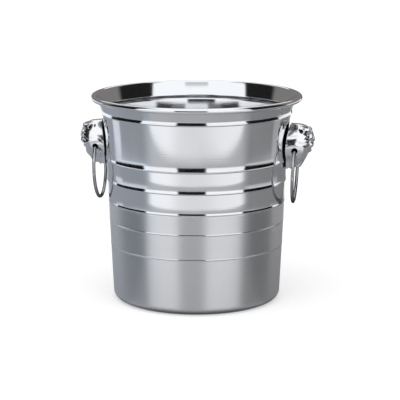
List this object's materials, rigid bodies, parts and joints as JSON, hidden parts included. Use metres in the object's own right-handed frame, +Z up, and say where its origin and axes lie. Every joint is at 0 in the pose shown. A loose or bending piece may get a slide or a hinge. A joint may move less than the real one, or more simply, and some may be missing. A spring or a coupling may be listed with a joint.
{
  "type": "ice bucket",
  "caption": "Flared stainless ice bucket with a rolled rim, beaded satin wall and cast lion-head bosses carrying hinged wire ring handles.",
  "frame": {"origin": "centre of the ring that the bucket rests on", "axes": "+Z up along the bucket's axis, +X through the right lion head and handle, -X through the left one"},
  "size_m": [0.2476, 0.2196, 0.2162],
  "materials": {
    "satin_steel": "satin to polished stainless",
    "chrome": "polished chrome plate",
    "fastener_steel": "plain stainless",
    "seal_rubber": "matt"
  },
  "bodies": {
    "bucket": {"bucket_body": "satin_steel", "lion_head_right": "chrome", "lion_head_left": "chrome", "head_gasket_right": "seal_rubber", "head_gasket_left": "seal_rubber", "screw_right_upper": "fastener_steel", "screw_right_lower": "fastener_steel", "screw_left_upper": "fastener_steel", "screw_left_lower": "fastener_steel", "washer_right_upper": "fastener_steel", "washer_right_lower": "fastener_steel", "washer_left_upper": "fastener_steel", "washer_left_lower": "fastener_steel", "seal_washer_right_upper": "seal_rubber", "seal_washer_right_lower": "seal_rubber", "seal_washer_left_upper": "seal_rubber", "seal_washer_left_lower": "seal_rubber"},
    "right_ring": {"ring_handle_right": "chrome"},
    "left_ring": {"ring_handle_left": "chrome"}
  },
  "joints": [
    {"name": "right_ring_swing", "type": "hinge", "parent": "bucket", "child": "right_ring", "pos_m": [0.1042, 0, 0.1604], "axis": [0, -1, 0], "range_deg": [-7, 173]},
    {"name": "left_ring_swing", "type": "hinge", "parent": "bucket", "child": "left_ring", "pos_m": [-0.1042, 0, 0.1604], "axis": [0, 1, 0], "range_deg": [-7, 173]}
  ]
}
